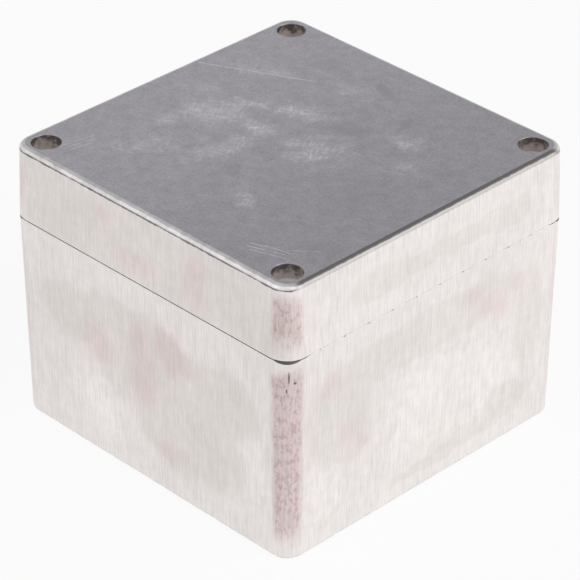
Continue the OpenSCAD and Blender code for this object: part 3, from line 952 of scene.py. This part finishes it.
def earth_split_washer(centre):
    """A spring washer: a chamfered section carried round the screw, with a narrow split."""
    low, high = node_box("earth_spring_washer")
    outer, tall, chamfer, half_split = (high.x - low.x) / 2, high.z - low.z, 0.1, math.radians(7)
    middle, half = (outer + EARTH_HOLE) / 2, (outer - EARTH_HOLE) / 2
    turn = np.linspace(half_split, 2 * np.pi - half_split, 72)
    outward = np.column_stack([np.cos(turn), np.sin(turn), 0 * turn])
    path = np.array([centre[0], centre[1], low.z]) + middle * outward
    section = [(-half, chamfer), (-half + chamfer, 0), (half - chamfer, 0), (half, chamfer),
               (half, tall - chamfer), (half - chamfer, tall), (-half + chamfer, tall),
               (-half, tall - chamfer)]
    points, _ = carried(section, path, outward, closed=False)
    shut = [np.repeat(end.mean(0, keepdims=True), len(section), 0)[None] for end in (points[0], points[-1])]
    points = np.concatenate([shut[0], points, shut[1]])
    surface = (points, grid_quads(len(points), len(section), True))
    solid_piece("earth_split_washer", [surface], "earth_clamp", "earth_spring_washer",
                washer_steel, sharp=30)


for number, (cx, cy) in enumerate(CORNER_SIGNS, 1):
    captive_screw(number, cx, cy)
    captive_ring(number, cx, cy)
gasket_cord()
earth_low, earth_high = node_box("earth_screw")
earth_centre = ((earth_low.x + earth_high.x) / 2, (earth_low.y + earth_high.y) / 2,
                earth_high.z - EARTH_HEAD)
earth_terminal_screw(earth_centre)
earth_cable_clamp(earth_centre)
earth_split_washer(earth_centre)


# ---- studio ----

def seen_directly(tree):
    """1 for rays from the camera, in a reflection or through glass, which see plain white."""
    path = tree.nodes.new("ShaderNodeLightPath").outputs
    kinds = ("Is Camera Ray", "Is Glossy Ray", "Is Transmission Ray")
    return strongest(tree, [path[kind] for kind in kinds])


def white_surround(ambient):
    """A surround that is seen as plain white and lights the object by ambient."""
    world = bpy.data.worlds.new("studio_surround")
    world.use_nodes = True
    tree = world.node_tree
    tree.nodes.clear()
    white = add(tree, "ShaderNodeBackground", {"Color": (1, 1, 1, 1), "Strength": 1.0})
    light = add(tree, "ShaderNodeBackground", {"Color": (1, 1, 1, 1), "Strength": ambient})
    mixed = add(tree, "ShaderNodeMixShader",
                {0: seen_directly(tree), 1: light.outputs[0], 2: white.outputs[0]})
    leave = tree.nodes.new("ShaderNodeOutputWorld")
    tree.links.new(mixed.outputs[0], leave.inputs[0])
    bpy.context.scene.world = world


def pale_floor(reach, glow_share):
    """A round floor just under nought, pale where it is seen and keeping a soft shadow."""
    steps, depth = 64, 0.00005
    r = np.array([0.0, reach])[:, None]
    turn = np.linspace(0, 2 * np.pi, steps, endpoint=False)[None, :]
    points = np.stack([r * np.cos(turn), r * np.sin(turn), 0 * r * turn - depth], -1).reshape(-1, 3)
    mesh = bpy.data.meshes.new("floor")
    mesh.from_pydata(points.tolist(), [], grid_quads(2, steps, True)[:, ::-1].tolist())
    work = bmesh.new()
    work.from_mesh(mesh)
    bmesh.ops.remove_doubles(work, verts=work.verts, dist=MERGE_DISTANCE)
    work.to_mesh(mesh)
    work.free()
    floor = bpy.data.objects.new("floor", mesh)
    bpy.context.scene.collection.objects.link(floor)
    finish = bpy.data.materials.new("floor_white")
    finish.use_nodes = True
    tree = finish.node_tree
    tree.nodes.clear()
    matt = add(tree, "ShaderNodeBsdfDiffuse", {"Color": (0.86, 0.86, 0.86, 1)})
    glow = add(tree, "ShaderNodeEmission", {"Color": (1, 1, 1, 1), "Strength": 1.0})
    factor = times(tree, seen_directly(tree), glow_share)
    mixed = add(tree, "ShaderNodeMixShader", {0: factor, 1: matt.outputs[0], 2: glow.outputs[0]})
    leave = tree.nodes.new("ShaderNodeOutputMaterial")
    tree.links.new(mixed.outputs[0], leave.inputs[0])
    mesh.materials.append(finish)


def from_aim(azimuth, elevation):
    """The way from the aim to a point on a sphere round it; azimuth is from -Y towards +X."""
    a, e = math.radians(azimuth), math.radians(elevation)
    return Vector((math.sin(a) * math.cos(e), -math.cos(a) * math.cos(e), math.sin(e)))


def soft_lamp(name, azimuth, elevation, distance, size, watts, aim):
    """A square lamp on a sphere round aim, in metres."""
    away = from_aim(azimuth, elevation)
    data = bpy.data.lights.new(name, "AREA")
    data.shape, data.size, data.energy = "SQUARE", size, watts
    lamp = bpy.data.objects.new(name, data)
    lamp.location = aim + away * distance
    lamp.rotation_euler = (-away).to_track_quat("-Z", "Y").to_euler()
    bpy.context.scene.collection.objects.link(lamp)


def place_camera(azimuth, elevation, roll, distance, lens, across, upward, aim):
    """Looks along the line from a point on a sphere round aim, slid sideways by across and upward."""
    back = from_aim(azimuth, elevation)
    a, t = math.radians(azimuth), math.radians(roll)
    level = Vector((math.cos(a), math.sin(a), 0))
    upright = back.cross(level)
    right = level * math.cos(t) + upright * math.sin(t)
    up = upright * math.cos(t) - level * math.sin(t)
    data = bpy.data.cameras.new("studio_camera")
    data.sensor_width, data.lens = 36.0, lens
    data.clip_start, data.clip_end = 0.05, 20.0
    camera = bpy.data.objects.new("studio_camera", data)
    turn = Matrix((right, up, back)).transposed().to_4x4()
    spot = aim + (back * distance + level * across + upright * upward) * MM
    camera.matrix_world = Matrix.Translation(spot) @ turn
    bpy.context.scene.collection.objects.link(camera)
    bpy.context.scene.camera = camera


middle = Vector((0, 0, 0.04))
joint_plane = Vector((0, 0, (LID_BOTTOM - SEAM_GAP / 2) * MM))
white_surround(ambient=0.45)
pale_floor(reach=3.0, glow_share=0.9)
soft_lamp("key_lamp", azimuth=105, elevation=30, distance=2.0, size=2.0, watts=23, aim=middle)
soft_lamp("fill_lamp", azimuth=-20, elevation=35, distance=2.0, size=1.6, watts=7, aim=middle)
place_camera(azimuth=45.403, elevation=32.230, roll=0.082, distance=808.95, lens=198.37241,
             across=0.175, upward=-19.480, aim=joint_plane)
bpy.context.scene.view_settings.view_transform = "Standard"
